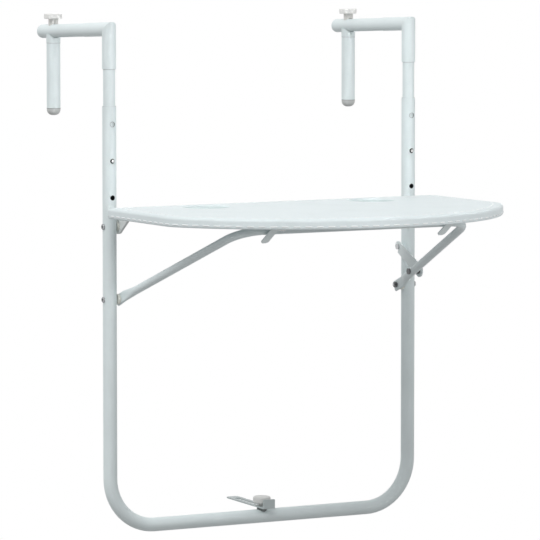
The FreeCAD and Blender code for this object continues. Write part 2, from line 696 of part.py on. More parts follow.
def pivot_nuts(z, seat_x):
    """Pair of nuts on the inner ends of the pivot screws."""
    nuts = []
    for side in SIDES.values():
        nut = hexagon(V(side * seat_x, 0, z), RIGHT * -side, NUT_T, NUT_FLATS)
        nuts.append(nut.cut(pivot_hole(side * seat_x, z, 4 * NUT_T, PIVOT_R + FIXED_GAP)))
    return Part.makeCompound(nuts)


def spacer(side, z, thickness, diameter):
    """Plastic ring on a pivot screw, against the inner face of an upright."""
    start = V(side * INNER_FACE_X, 0, z)
    return ring(start, RIGHT * -side, thickness, diameter / 2, PIVOT_R + FIXED_GAP)


def oval_wire(y, x, straight, end_radius):
    """Upright oval across the arm: two arcs above and below, two sides, with straight between the arcs."""
    def at(dx, dz):
        return V(x + dx, y, dz)
    half = straight / 2
    slope = math.sqrt(0.5) * end_radius
    if straight > 0:
        right_side = Part.LineSegment(at(end_radius, half), at(end_radius, -half))
        left_side = Part.LineSegment(at(-end_radius, -half), at(-end_radius, half))
        top = Part.Arc(at(-end_radius, half), at(0, half + end_radius), at(end_radius, half))
        low = Part.Arc(at(end_radius, -half), at(0, -half - end_radius), at(-end_radius, -half))
    else:
        right_side = Part.Arc(at(slope, slope), at(end_radius, 0), at(slope, -slope))
        left_side = Part.Arc(at(-slope, -slope), at(-end_radius, 0), at(-slope, slope))
        top = Part.Arc(at(-slope, slope), at(0, end_radius), at(slope, slope))
        low = Part.Arc(at(slope, -slope), at(0, -end_radius), at(-slope, -slope))
    return Part.Wire([edge.toShape() for edge in (top, right_side, low, left_side)])


def arm_place(along):
    """Middle of the right arm at a distance from its pivot, on the level brace."""
    return V(ARM_X - BRACE_LEAN * along / BRACE_LENGTH, -along, 0)


def flat_arm(inset):
    """Flattened end of the right arm and its blend to the round tube, shrunk by an inset all round."""
    end_radius = BRACE_FLAT_T / 2 - inset
    straight = BRACE_FLAT_WIDTH - BRACE_FLAT_T
    rear = BRACE_FLAT_WIDTH / 2
    flat = oval_wire(rear, ARM_X, straight, end_radius)
    flat_end = oval_wire(-BRACE_FLAT_LENGTH, ARM_X, straight, end_radius)
    middle = arm_place(BRACE_FLAT_LENGTH + BRACE_BLEND_LENGTH)
    round_end = oval_wire(middle.y, middle.x, 0, BRACE_R - inset)
    round_end.rotate(middle, UP, -math.degrees(math.atan2(BRACE_LEAN, BRACE_LENGTH)))
    straight_part = Part.Face(flat).extrude(-BACK * (rear + BRACE_FLAT_LENGTH))
    return straight_part.fuse(Part.makeLoft([flat_end, round_end], True))


def brace():
    """U-shaped tube: two leaning arms with flattened ends, joined by the crossbar."""
    starts = [arm_place(BRACE_FLAT_LENGTH + BRACE_BLEND_LENGTH), arm_place(BRACE_LENGTH)]
    corners = [V(-place.x, place.y, 0) for place in starts] + starts[::-1]
    outer = bent_rod(corners, BRACE_BEND_R, BRACE_R)
    inner = bent_rod(corners, BRACE_BEND_R, BRACE_R - BRACE_TUBE_WALL)
    for side in SIDES.values():
        outer = outer.fuse(mirrored(flat_arm(0), side))
        inner = inner.fuse(mirrored(flat_arm(BRACE_TUBE_WALL), side))
    tube = outer.cut(inner)
    for side in SIDES.values():
        tube = tube.cut(rod(V(side * ARM_X, 0, 0) - RIGHT * TUBE_R, RIGHT, TUBE_D, PIVOT_R + PIVOT_GAP))
    bolt_hole = rod(arm_place(LATCH_BOLT_ALONG) - RIGHT * TUBE_R, RIGHT, TUBE_D, LATCH_BOLT_R + FIXED_GAP)
    return on_brace(tube.cut(bolt_hole))


def arm_clearance(radius):
    """Distance from the arm's middle at which a disc of given radius clears the leaning tube."""
    slope = BRACE_LEAN / BRACE_LENGTH
    return BRACE_R * math.hypot(1, slope) + radius * slope


def latch_bolt():
    """Shouldered bolt through the right arm that the latch lever swings on."""
    middle = arm_place(LATCH_BOLT_ALONG)
    head_seat = middle - RIGHT * arm_clearance(LATCH_HEAD_D / 2)
    shoulder_seat = middle + RIGHT * arm_clearance(LATCH_SHOULDER_D / 2)
    shoulder_length = LATCH_INNER_X - FACE_GAP - shoulder_seat.x
    rivet_seat = V(LATCH_OUTER_X + FACE_GAP, middle.y, 0)
    head = rod(head_seat, -RIGHT, LATCH_HEAD_T, LATCH_HEAD_D / 2)
    shank = rod(head_seat, RIGHT, rivet_seat.x - head_seat.x, LATCH_BOLT_R)
    shoulder = rod(shoulder_seat, RIGHT, shoulder_length, LATCH_SHOULDER_D / 2)
    rivet = rod(rivet_seat, RIGHT, LATCH_HEAD_T, LATCH_HEAD_D / 2)
    return on_brace(head.fuse([shank, shoulder, rivet]))


def latch_lever():
    """Flat lever from the bolt on the brace, with a hook that drops over the stud on the upright."""
    bolt_y, bolt_z = brace_point(LATCH_BOLT_ALONG, 0)
    length = math.hypot(bolt_y, Z_LATCH_STUD - bolt_z)
    x = LATCH_INNER_X
    near, far = LATCH_BOLT_END_R, LATCH_HOOK_END_R
    bar = prism([V(x, 0, -near), V(x, length, -far), V(x, length, far), V(x, 0, near)], RIGHT * LATCH_T)
    bolt_end = rod(V(x, 0, 0), RIGHT, LATCH_T, near)
    hook_end = rod(V(x, length, 0), RIGHT, LATCH_T, far)
    room = LATCH_STUD_R + FACE_GAP
    mouth_back = room + 2 * far * math.tan(math.radians(LATCH_MOUTH_DEG))
    mouth = prism([V(x, length - room, 0), V(x, length - room, -2 * far), V(x, length + mouth_back, -2 * far),
                   V(x, length + room, 0)], RIGHT * LATCH_T)
    notch = mouth.fuse(rod(V(x, length, 0), RIGHT, LATCH_T, room))
    lever = bar.fuse([bolt_end, hook_end]).removeSplitter().cut(notch)
    lever = lever.cut(rod(V(x, 0, 0), RIGHT, LATCH_T, LATCH_BOLT_R + PIVOT_GAP))
    lever.rotate(V(0, 0, 0), RIGHT, math.degrees(math.atan2(Z_LATCH_STUD - bolt_z, -bolt_y)))
    lever.translate(V(0, bolt_y, bolt_z))
    return lever


def latch_stud():
    """Headed stud in the inner wall of the right upright, for the latch lever to hook on."""
    seat = V(LATCH_INNER_X - FACE_GAP, 0, Z_LATCH_STUD)
    head = rod(seat, -RIGHT, LATCH_HEAD_T, LATCH_STUD_HEAD_D / 2)
    shank = rod(seat, RIGHT, INNER_FACE_X + 2 * TUBE_WALL - seat.x, LATCH_STUD_R)
    return head.fuse(shank)


def catch_hook(side):
    """Strip screwed under the panel, with a finger that slants down and back below the crossbar."""
    angle = math.radians(CATCH_ANGLE_DEG)
    root = catch_root_y()
    x = -CATCH_WIDTH / 2
    corner = CATCH_T * math.tan(angle / 2)
    along = V(0, math.cos(angle), -math.sin(angle))
    below = V(0, -math.sin(angle), -math.cos(angle)) * CATCH_T
    bend = V(x, root, Z_TABLE_UNDER)
    front = V(x, root - CATCH_FLANGE_LENGTH, Z_TABLE_UNDER)
    tip = bend + along * CATCH_FINGER_LENGTH
    strip = prism([front, bend, tip, tip + below, bend - V(0, corner, CATCH_T), front - UP * CATCH_T],
                  RIGHT * CATCH_WIDTH)
    tip_edges = []
    for shift in (0, CATCH_WIDTH):
        tip_edges += edges_near(strip, tip + below / 2 + RIGHT * shift, CATCH_T / 4)
    strip = strip.makeFillet(CATCH_TIP_R, tip_edges)
    strip.translate(V(side * CATCH_X, 0, 0))
    for place in catch_screw_places():
        strip = strip.cut(rod(place, -UP, CATCH_T, PANEL_SCREW_R + FIXED_GAP))
    return strip


def standoff_seat():
    """Washer that sits astride the bottom tube and carries the strip."""
    block = rod(V(0, 0, Z_BOTTOM_TUBE), UP, TUBE_R + SEAT_RISE, SEAT_D / 2)
    block = block.cut(rod(V(-SEAT_D, 0, Z_BOTTOM_TUBE), RIGHT, 2 * SEAT_D, TUBE_R))
    return block.cut(rod(V(0, 0, Z_BOTTOM_TUBE), UP, TUBE_D, STUD_R + FIXED_GAP))


def standoff_strip():
    """Slotted strip that reaches back to the railing, with a finger tab bent up in front."""
    half = STRIP_WIDTH / 2
    length = STRIP_BACK_REACH + STRIP_FRONT_REACH
    strip = Part.makeBox(STRIP_WIDTH, length, STRIP_T, V(-half, -STRIP_FRONT_REACH, Z_STRIP))
    tab = Part.makeBox(STRIP_WIDTH, STRIP_T, STRIP_TAB_HEIGHT, V(-half, -STRIP_FRONT_REACH, Z_STRIP))
    rear_edges = [edge for edge in strip.Edges if edge.BoundBox.ZLength > STRIP_T / 2
                  and edge.CenterOfMass.y > 0]
    tab_edges = [edge for edge in tab.Edges if edge.BoundBox.YLength > STRIP_T / 2
                 and edge.CenterOfMass.z > Z_STRIP + STRIP_T]
    strip = strip.makeFillet(STRIP_CORNER_R, rear_edges).fuse(tab.makeFillet(STRIP_TAB_CORNER_R, tab_edges))
    slot_half = STUD_R + SLOT_ROOM
    slot_front = -STRIP_SLOT_FRONT + slot_half
    slot_back = STRIP_BACK_REACH - STRIP_SLOT_END - slot_half
    slot = Part.makeBox(2 * slot_half, slot_back - slot_front, STRIP_T, V(-slot_half, slot_front, Z_STRIP))
    for y in (slot_front, slot_back):
        slot = slot.fuse(rod(V(0, y, Z_STRIP), UP, STRIP_T, slot_half))
    return strip.removeSplitter().cut(slot)


STANDOFF_KNOB_SEAT = Z_STRIP + STRIP_T + FACE_GAP
STANDOFF_BORE = STANDOFF_NECK_HEIGHT + STANDOFF_KNOB_HEIGHT - KNOB_SKIN


def standoff_stud():
    """Threaded stud that stands in the bottom tube."""
    bottom = Z_BOTTOM_TUBE + BORE_R / 2
    return rod(V(0, 0, bottom), UP, STANDOFF_KNOB_SEAT + STANDOFF_BORE - FACE_GAP - bottom, STUD_R)


def standoff_knob():
    """Round knob on a neck that clamps the strip."""
    seat = V(0, 0, STANDOFF_KNOB_SEAT)
    head_low = seat + UP * STANDOFF_NECK_HEIGHT
    head = rod(head_low, UP, STANDOFF_KNOB_HEIGHT, STANDOFF_KNOB_D / 2)
    rims = [edge for edge in head.Edges if edge.Closed]
    head = head.makeFillet(STANDOFF_KNOB_EDGE_R, rims)
    neck = rod(seat, UP, STANDOFF_NECK_HEIGHT + STANDOFF_KNOB_EDGE_R, STANDOFF_NECK_D / 2)
    return head.fuse(neck).cut(rod(seat, UP, STANDOFF_BORE, STUD_R + PIVOT_GAP))


PAIRED = {"inner_tube": inner_tube, "hook_arm": hook_arm, "hook_end_cap": hook_end_cap,
          "clamp_saddle": clamp_saddle, "clamp_tube": clamp_tube, "clamp_end_cap": clamp_end_cap,
          "clamp_nut": clamp_nut, "clamp_collar": clamp_collar, "clamp_knob": clamp_knob,
          "clamp_bolt": clamp_bolt, "snap_button": snap_button, "button_spring": button_spring,
          "catch_hook": catch_hook}


def all_parts():
    """Every piece by name."""
    parts = {"lower_frame": lower_frame(), "tabletop": tabletop(), "brace": brace(),
             "latch_lever": latch_lever(), "latch_bolt": latch_bolt(), "latch_stud": latch_stud(),
             "standoff_seat": at_standoff(standoff_seat()), "standoff_strip": at_standoff(standoff_strip()),
             "standoff_stud": at_standoff(standoff_stud()), "standoff_knob": at_standoff(standoff_knob())}
    parts["hinge_screws"] = pivot_screws(Z_TABLE_PIVOT, LUG_INNER_X - FACE_GAP)
    parts["hinge_nuts"] = pivot_nuts(Z_TABLE_PIVOT, LUG_INNER_X - FACE_GAP)
    parts["brace_screws"] = pivot_screws(Z_BRACE_PIVOT, ARM_INNER_X - FACE_GAP)
    parts["brace_nuts"] = pivot_nuts(Z_BRACE_PIVOT, ARM_INNER_X - FACE_GAP)
    parts["bracket_screws"] = panel_screws(flange_screw_places(), FLANGE_T)
    parts["catch_screws"] = panel_screws(catch_screw_places(), CATCH_T)
    right_bracket = hinge_bracket()
    for name, side in SIDES.items():
        for piece, build in PAIRED.items():
            parts[name + "_" + piece] = build(side)
        parts[name + "_hinge_bracket"] = mirrored(right_bracket, side)
        parts[name + "_hinge_spacer"] = spacer(side, Z_TABLE_PIVOT, HINGE_SPACER_T - FACE_GAP, HINGE_SPACER_D)
        parts[name + "_brace_spacer"] = spacer(side, Z_BRACE_PIVOT, BRACE_SPACER_T - FACE_GAP, BRACE_SPACER_D)
    return parts


os.makedirs("parts", exist_ok=True)
for part_name, part_shape in all_parts().items():
    part_shape.exportStep("parts/" + part_name + ".step")
    print(part_name, "solids", len(part_shape.Solids), "valid", part_shape.isValid(),
          "volume", round(part_shape.Volume / 1000, 2), "cm3")
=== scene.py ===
import math
from typing import NamedTuple

import bmesh
import bpy
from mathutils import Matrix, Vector


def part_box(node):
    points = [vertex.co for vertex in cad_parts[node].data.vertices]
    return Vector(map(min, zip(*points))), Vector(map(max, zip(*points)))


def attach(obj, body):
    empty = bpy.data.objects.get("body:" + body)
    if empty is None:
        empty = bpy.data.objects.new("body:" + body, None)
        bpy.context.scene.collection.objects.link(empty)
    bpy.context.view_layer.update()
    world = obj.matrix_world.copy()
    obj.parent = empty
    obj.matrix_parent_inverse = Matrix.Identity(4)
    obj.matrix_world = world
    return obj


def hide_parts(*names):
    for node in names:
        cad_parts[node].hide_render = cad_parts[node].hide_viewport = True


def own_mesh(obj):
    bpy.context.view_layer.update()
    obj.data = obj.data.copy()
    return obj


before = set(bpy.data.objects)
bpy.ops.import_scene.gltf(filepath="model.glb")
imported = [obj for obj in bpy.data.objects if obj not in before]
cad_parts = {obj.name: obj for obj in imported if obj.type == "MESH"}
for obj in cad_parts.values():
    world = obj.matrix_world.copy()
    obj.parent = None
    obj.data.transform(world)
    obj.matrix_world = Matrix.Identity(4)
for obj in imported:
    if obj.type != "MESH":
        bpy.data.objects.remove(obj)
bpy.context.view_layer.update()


class Tone(NamedTuple):
    """Colour of a surface and its mean roughness."""
    colour: tuple
    roughness: float


class Finish(NamedTuple):
    """Texture of a surface: its cells per metre and how strongly they show, with the bump depth in metres."""
    clouds: float
    shade: float
    gloss_cells: float
    gloss_play: float
    grain: float
    grain_detail: float
    bump: float
    depth: float


# Camera fitted to the photograph: place in metres, lens and sensor in millimetres
CAMERA_PLACE = Vector((-3.5731, -6.2738, 0.2518))
CAMERA_AIM = Vector((0.4946, 0.8647, -0.0869))
CAMERA_LENS = 302.4
SENSOR = 36.0

# Table panel, in metres like all lengths from here on
TABLE_HALF_WIDTH = 0.300
TABLE_REAR = -0.036
TABLE_DEPTH = 0.3895
TABLE_SIDE_LENGTH = 0.207
TABLE_REAR_CORNER = 0.012
TABLE_SIDE_CORNER = 0.060
TABLE_TOP = -0.2655
TABLE_UNDER = -0.2815
LEAST_CORNER = 0.0005

# Cup recesses in the panel, with the radii and depths between which painted shade lies on their walls
CUP_X = 0.150
CUP_INSET = 0.0535
CUP_Y = TABLE_REAR - CUP_INSET
CUP_ROOM = 0.047
CUP_FOOT = 0.031
CUP_WALL = 0.0365
CUP_LIP = 0.0405
CUP_SHADE_START = 0.0006
CUP_SHADE_FULL = 0.0030
CUP_SHADE_END = 0.0085

# Stitch marks moulded round the panel
STITCH_PITCH = 0.0175
STITCH_SHARE = 0.62
STITCH_WIDTH = 0.0023
STITCH_SEGMENTS = 12
STITCH_RINGS = 8
STITCH_DIGITS = 5
TOP_STITCH_HEIGHT = 0.0007
RIM_STITCH_HEIGHT = 0.0008
TOP_STITCH_INSET = 0.016
RIM_STITCH_RISE = 0.0042

# Basket weave on the panel: strand width, depth of the plain edge, share of the painted highlight on the
# strand tops in the colour, and grain on it
WEAVE_PITCH = 0.0064
WEAVE_EDGE = 0.0003
WEAVE_LIGHT = 0.5
WEAVE_GRAIN = 0.25

# Uprights and their adjusting holes
SIDES = ("left", "right")
UPRIGHT_X = 0.274
TUBE_RADIUS = 0.011
INNER_TUBE_RADIUS = 0.00955
COAT_DEPTH = 0.0002
BEND_START = -0.69
HOLE_PITCH = 0.0575
HOLE_RADIUS = 0.004

# Snap buttons: Y up to which the dome is bright, and Y from which it is dark
# Painted shade on the snap buttons starts at the first Y and is full at the second
BUTTON_SHADE_START = -0.01257
BUTTON_SHADE_FULL = -0.01242

# Radii of the painted shadow lines at joints and hole rims, and the points and sides that draw them
SEAM_WIRE = 0.0005
HOLE_WIRE = 0.00025
ARC_STEPS = 48
WIRE_SIDES = 8

# Painted shade in the cross slots of the screw heads
CROSS_ARMS = 4
CROSS_REACH = 0.0024
CROSS_HALF_WIDTH = 0.0006
CROSS_FLOOR = 0.00095
CROSS_SINK = 0.0003

# Floor and surroundings
FLOOR_LEVEL = -1.05
FLOOR_REACH = 60.0
FLOOR_ROUGHNESS = 0.9
FLOOR_SEEN = (0.9, 0.9, 0.9)
FLOOR_BOUNCE = 0.38
FLOOR_GLOW = 0.3
PAPER_CLOUDS = 3.0
PAPER_SHADE = 0.97
SHADOW_REACH = 0.9
WHITE_REACH = 1.6
SURROUND_LEVEL = 0.57

# Lamps: place, aim and size in metres, power in watts, beam in degrees
KEY_PLACE = Vector((-3.3, -1.4, 4.1))
KEY_AIM = Vector((0.0, 0.0, -0.4))
KEY_SIZE = 2.4
KEY_POWER = 148.0
KEY_BEAM = 180.0
FRONT_PLACE = Vector((0.8, -3.0, 0.35))
FRONT_AIM = Vector((0.0, 0.0, 0.02))
FRONT_SIZE = 0.8
FRONT_POWER = 1.0
FRONT_BEAM = 24.0

# Colour and roughness of each surface
COAT_WHITE = Tone((0.79, 0.87, 0.88), 0.43)
# Frame coat lightened as painted light on the lever and catch hooks in the panel's shade
LEVER_LIT_WHITE = Tone((0.86, 0.93, 0.935), 0.43)
STRIP_GREY = Tone((0.51, 0.57, 0.575), 0.43)
PANEL_WHITE = Tone((0.77, 0.845, 0.86), 0.49)
# Stitch marks whiter than the panel, a painted highlight for the light they catch
STITCH_HIGHLIGHT_WHITE = Tone((0.88, 0.915, 0.925), 0.4)
KNOB_WHITE = Tone((0.89, 0.89, 0.875), 0.38)
SADDLE_WHITE = Tone(COAT_WHITE.colour, 0.45)
BRACKET_WHITE = Tone((0.80, 0.83, 0.82), 0.5)
SPACER_CREAM = Tone((0.82, 0.82, 0.76), 0.5)
CAP_GREY = Tone((0.60, 0.615, 0.61), 0.45)
COLLAR_GREY = Tone((0.79, 0.785, 0.76), 0.5)
STANDOFF_GREY = Tone((0.74, 0.745, 0.73), 0.45)
# Stand-off seat painted dark as painted shadow under the strip
SEAT_SHADOW_GREY = Tone((0.19, 0.21, 0.21), 0.55)
# Painted shadow for the joint lines and hole rims
SHADOW_LINE_GREY = Tone((0.22, 0.235, 0.24), 0.7)
ZINC = Tone((0.56, 0.57, 0.58), 0.35)
BUTTON_STEEL = Tone((0.70, 0.71, 0.71), 0.25)
SCREW_STEEL = Tone((0.40, 0.41, 0.42), 0.32)
BLUED_STEEL = Tone((0.15, 0.155, 0.16), 0.4)
# Near black: bare steel darkened as painted shade inside the tubes, and painted shade on the buttons and in
# the screw slots
BARE_STEEL_AND_SHADE = Tone((0.055, 0.058, 0.06), 0.5)
# Painted shade on the walls of the cup recesses
CUP_PAINTED_SHADE = (0.66, 0.733, 0.738)

# Textures of the four kinds of surface
COAT = Finish(clouds=22.0, shade=0.955, gloss_cells=160.0, gloss_play=0.07,
              grain=900.0, grain_detail=2.0, bump=0.22, depth=0.00025)
PLASTIC = Finish(clouds=45.0, shade=0.94, gloss_cells=300.0, gloss_play=0.06,
                 grain=1600.0, grain_detail=1.0, bump=0.2, depth=0.0002)
METAL = Finish(clouds=260.0, shade=0.8, gloss_cells=700.0, gloss_play=0.1,
               grain=2600.0, grain_detail=2.0, bump=0.25, depth=0.00015)
WEAVE = Finish(clouds=14.0, shade=0.965, gloss_cells=220.0, gloss_play=0.07,
               grain=1300.0, grain_detail=2.0, bump=0.35, depth=0.0004)

# Middle part of a noise texture's values, in which nearly all of them lie
NOISE_LOW = 0.3
NOISE_HIGH = 0.7
NOISE_DETAIL = 3.0

# Light that scatters inside the plastic
SCATTER_SHARE = 0.05
SCATTER_REACH = 0.002


def add_node(tree, kind, inputs, **settings):
    """New node with its settings, and each input set to a value or linked to a socket."""
    node = tree.nodes.new(kind)
    for name, value in settings.items():
        setattr(node, name, value)
    for name, value in inputs.items():
        if isinstance(value, bpy.types.NodeSocket):
            tree.links.new(value, node.inputs[name])
        else:
            node.inputs[name].default_value = value
    return node


def compute(tree, operation, *values):
    """One sum on one or two values, each a socket or a number."""
    node = add_node(tree, "ShaderNodeMath", dict(enumerate(values)), operation=operation)
    return node.outputs["Value"]


def noise(tree, coords, scale, detail=NOISE_DETAIL):
    """Noise texture in the surface's own metres."""
    node = add_node(tree, "ShaderNodeTexNoise", {"Vector": coords, "Scale": scale, "Detail": detail})
    return node.outputs["Fac"]


def ramp(tree, value, start, end, low=0.0, high=1.0):
    """Value that goes from low at start to high at end."""
    node = add_node(tree, "ShaderNodeMapRange",
                    {"Value": value, "From Min": start, "From Max": end, "To Min": low, "To Max": high})
    return node.outputs["Result"]


def spread(tree, value, low, high):
    """Map a noise value from the middle of its range to low and high."""
    return ramp(tree, value, NOISE_LOW, NOISE_HIGH, low, high)


def axes(tree, coords):
    """X, Y and Z of a place on the surface."""
    return add_node(tree, "ShaderNodeSeparateXYZ", {"Vector": coords}).outputs


def off_axis(tree, coords, x, y):
    """Distance from the nearer one of two upright axes, at x and at -x."""
    place = axes(tree, coords)
    sideways = compute(tree, "SUBTRACT", compute(tree, "ABSOLUTE", place["X"]), x)
    away = compute(tree, "SUBTRACT", place["Y"], y)
    squares = [compute(tree, "POWER", value, 2.0) for value in (sideways, away)]
    return compute(tree, "SQRT", compute(tree, "ADD", *squares))


def opaque(colour, level=1.0):
    """Colour at a level of brightness, with its alpha."""
    return (*[part * level for part in colour], 1.0)


def blend(tree, share, first, second):
    """Colour that goes from a first to a second one with a share from 0 to 1."""
    node = add_node(tree, "ShaderNodeMix", {"Factor": share, "A": first, "B": second}, data_type="RGBA")
    return node.outputs["Result"]


def tint(tree, value, colour, shade):
    """Colour that goes from a shaded tone to the full tone with a value from 0 to 1."""
    return blend(tree, value, opaque(colour, shade), opaque(colour))


def overlay(material, mask, colour):
    """Lay a second colour over the base colour where a mask is one."""
    tree = material.node_tree
    base = tree.nodes["Principled BSDF"].inputs["Base Color"]
    tree.links.new(blend(tree, mask, base.links[0].from_socket, opaque(colour)), base)


def new_material(name):
    """Empty node material with its shader and texture coordinates."""
    material = bpy.data.materials.new(name)
    material.use_nodes = True
    shader = material.node_tree.nodes["Principled BSDF"]
    coords = material.node_tree.nodes.new("ShaderNodeTexCoord")
    return material, shader, coords.outputs["Object"]


def own_coords(material):
    """Texture coordinates that a material already has."""
    return material.node_tree.nodes["Texture Coordinate"].outputs["Object"]


def set_gloss(tree, shader, coords, tone, finish):
    """Roughness that plays a little round a tone's own."""
    cells = noise(tree, coords, finish.gloss_cells)
    uneven = spread(tree, cells, tone.roughness - finish.gloss_play, tone.roughness + finish.gloss_play)
    tree.links.new(uneven, shader.inputs["Roughness"])


def set_bump(tree, shader, height, finish):
    """Bump from a height value."""
    node = add_node(tree, "ShaderNodeBump",
                    {"Strength": finish.bump, "Distance": finish.depth, "Height": height})
    tree.links.new(node.outputs["Normal"], shader.inputs["Normal"])


def plain_surface(name, tone, finish):
    """Material with clouded colour, slightly uneven gloss and fine grain, and its shader."""
    material, shader, coords = new_material(name)
    tree = material.node_tree
    cloud = spread(tree, noise(tree, coords, finish.clouds), 0.0, 1.0)
    tree.links.new(tint(tree, cloud, tone.colour, finish.shade), shader.inputs["Base Color"])
    set_gloss(tree, shader, coords, tone, finish)
    set_bump(tree, shader, noise(tree, coords, finish.grain, finish.grain_detail), finish)
    return material, shader


def powder_coat(name, tone):
    """Satin paint with fine orange peel."""
    material, _ = plain_surface(name, tone, COAT)
    return material


def inside_uprights(tree, coords, radius):
    """One within a radius of the uprights' axes, zero outside it and from the bends on."""
    near_axis = compute(tree, "LESS_THAN", off_axis(tree, coords, UPRIGHT_X, 0.0), radius)
    above_bend = compute(tree, "GREATER_THAN", axes(tree, coords)["Z"], BEND_START)
    return compute(tree, "MULTIPLY", near_axis, above_bend)


def coated_tube(name, tone, radius):
    """Powder coat on an upright tube of given radius, with bare steel inside and on cut edges, darkened to
    near black as painted shade there.
    """
    material = powder_coat(name, tone)
    bare = inside_uprights(material.node_tree, own_coords(material), radius - COAT_DEPTH)
    overlay(material, bare, BARE_STEEL_AND_SHADE.colour)
    return material


def moulded_plastic(name, tone):
    """Moulded plastic with spark-eroded grain and faint flow marks."""
    material, shader = plain_surface(name, tone, PLASTIC)
    shader.inputs["Subsurface Weight"].default_value = SCATTER_SHARE
    shader.inputs["Subsurface Radius"].default_value = (SCATTER_REACH, SCATTER_REACH, SCATTER_REACH)
    return material


def worked_metal(name, tone):
    """Plated steel with fine turning marks and clouded plating."""
    material, shader = plain_surface(name, tone, METAL)
    shader.inputs["Metallic"].default_value = 1.0
    return material


def button_metal(name, tone):
    """Plated steel of the snap buttons, with painted shade from the edge of the dome into the hole."""
    material = worked_metal(name, tone)
    tree = material.node_tree
    inward = axes(tree, own_coords(material))["Y"]
    # Painted shade round the foot of the button
    overlay(material, ramp(tree, inward, BUTTON_SHADE_START, BUTTON_SHADE_FULL), BARE_STEEL_AND_SHADE.colour)
    return material


def strands(tree, place):
    """Rounded strands side by side along one axis, from 0 between strands to 1 on top."""
    turns = compute(tree, "MULTIPLY", place, math.pi / WEAVE_PITCH)
    return compute(tree, "ABSOLUTE", compute(tree, "SINE", turns))


def basket_weave(tree, coords):
    """Height of the weave on the flat top of the panel, zero on its rim."""
    place = axes(tree, coords)
    level = add_node(tree, "ShaderNodeVectorMath", {0: coords, 1: (1.0, 1.0, 0.0)}, operation="MULTIPLY")
    checker = add_node(tree, "ShaderNodeTexChecker",
                       {"Vector": level.outputs["Vector"], "Scale": 1.0 / WEAVE_PITCH})
    squares = checker.outputs["Fac"]
    others = compute(tree, "SUBTRACT", 1.0, squares)
    over = compute(tree, "MULTIPLY", strands(tree, place["X"]), squares)
    under = compute(tree, "MULTIPLY", strands(tree, place["Y"]), others)
    flat_top = compute(tree, "GREATER_THAN", place["Z"], TABLE_TOP - WEAVE_EDGE)
    return compute(tree, "MULTIPLY", compute(tree, "ADD", over, under), flat_top)


def painted_cup_shade(tree, coords):
    """One where shade is painted on the walls of the cup recesses, fading out over their floors and lips."""
    reach = off_axis(tree, coords, CUP_X, CUP_Y)
    height = axes(tree, coords)["Z"]
    shade = ramp(tree, reach, CUP_FOOT, CUP_WALL)
    limits = (compute(tree, "LESS_THAN", reach, CUP_LIP),
              ramp(tree, height, TABLE_TOP - CUP_SHADE_START, TABLE_TOP - CUP_SHADE_FULL),
              compute(tree, "GREATER_THAN", height, TABLE_TOP - CUP_SHADE_END))
    for limit in limits:
        shade = compute(tree, "MULTIPLY", shade, limit)
    return shade


def woven_plastic(name, tone):
    """Moulded basket weave on the flat top of the panel, plain on its rim, with a painted highlight on the
    strand tops and painted shade in the cups.
    """
    material, shader, coords = new_material(name)
    tree = material.node_tree
    weave = basket_weave(tree, coords)
    cloud = spread(tree, noise(tree, coords, WEAVE.clouds), 0.0, 1.0)
    # Painted highlight: the colour is lighter on the tops of the strands
    lit = compute(tree, "ADD", compute(tree, "MULTIPLY", weave, WEAVE_LIGHT), cloud)
    tree.links.new(tint(tree, lit, tone.colour, WEAVE.shade), shader.inputs["Base Color"])
    # Painted shade in the cup recesses
    overlay(material, painted_cup_shade(tree, coords), CUP_PAINTED_SHADE)
    set_gloss(tree, shader, coords, tone, WEAVE)
    grain = compute(tree, "MULTIPLY", noise(tree, coords, WEAVE.grain, WEAVE.grain_detail), WEAVE_GRAIN)
    set_bump(tree, shader, compute(tree, "ADD", weave, grain), WEAVE)
    return material


def paint(material, node_names):
    """Give a material to the CAD nodes that are listed."""
    for name in node_names:
        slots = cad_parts[name].data.materials
        slots.clear()
        slots.append(material)


def both(*names):
    """Left and right names of paired nodes."""
    return [side + "_" + name for side in SIDES for name in names]


def node_box(name):
    """Low corner, high corner and middle of a CAD node's box."""
    low, high = (Vector(corner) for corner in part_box(name))
    return low, high, (low + high) / 2


def new_object(name, data):
    """Object in the scene that shows the data."""
    thing = bpy.data.objects.new(name, data)
    bpy.context.scene.collection.objects.link(thing)
    return thing


def add_piece(name, mesh, material, body):
    """Finished smooth object from a mesh, riding on a body."""
    bmesh.ops.recalc_face_normals(mesh, faces=mesh.faces)
    for face in mesh.faces:
        face.smooth = True
    data = bpy.data.meshes.new(name)
    mesh.to_mesh(data)
    mesh.free()
    data.materials.append(material)
    piece = new_object(name, data)
    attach(piece, body)


def front_arc():
    """Y of the centre of the panel's front arc, and its radius."""
    front = TABLE_REAR - TABLE_DEPTH
    side_end = TABLE_REAR - TABLE_SIDE_LENGTH
    rise = side_end - front
    radius = (TABLE_HALF_WIDTH ** 2 + rise ** 2) / (2 * rise)
    return front + radius, radius


def arc_points(centre, radius, start, end):
    """Points along an arc between two angles."""
    angles = [start + (end - start) * k / ARC_STEPS for k in range(ARC_STEPS + 1)]
    return [Vector((centre.x + radius * math.cos(a), centre.y + radius * math.sin(a))) for a in angles]


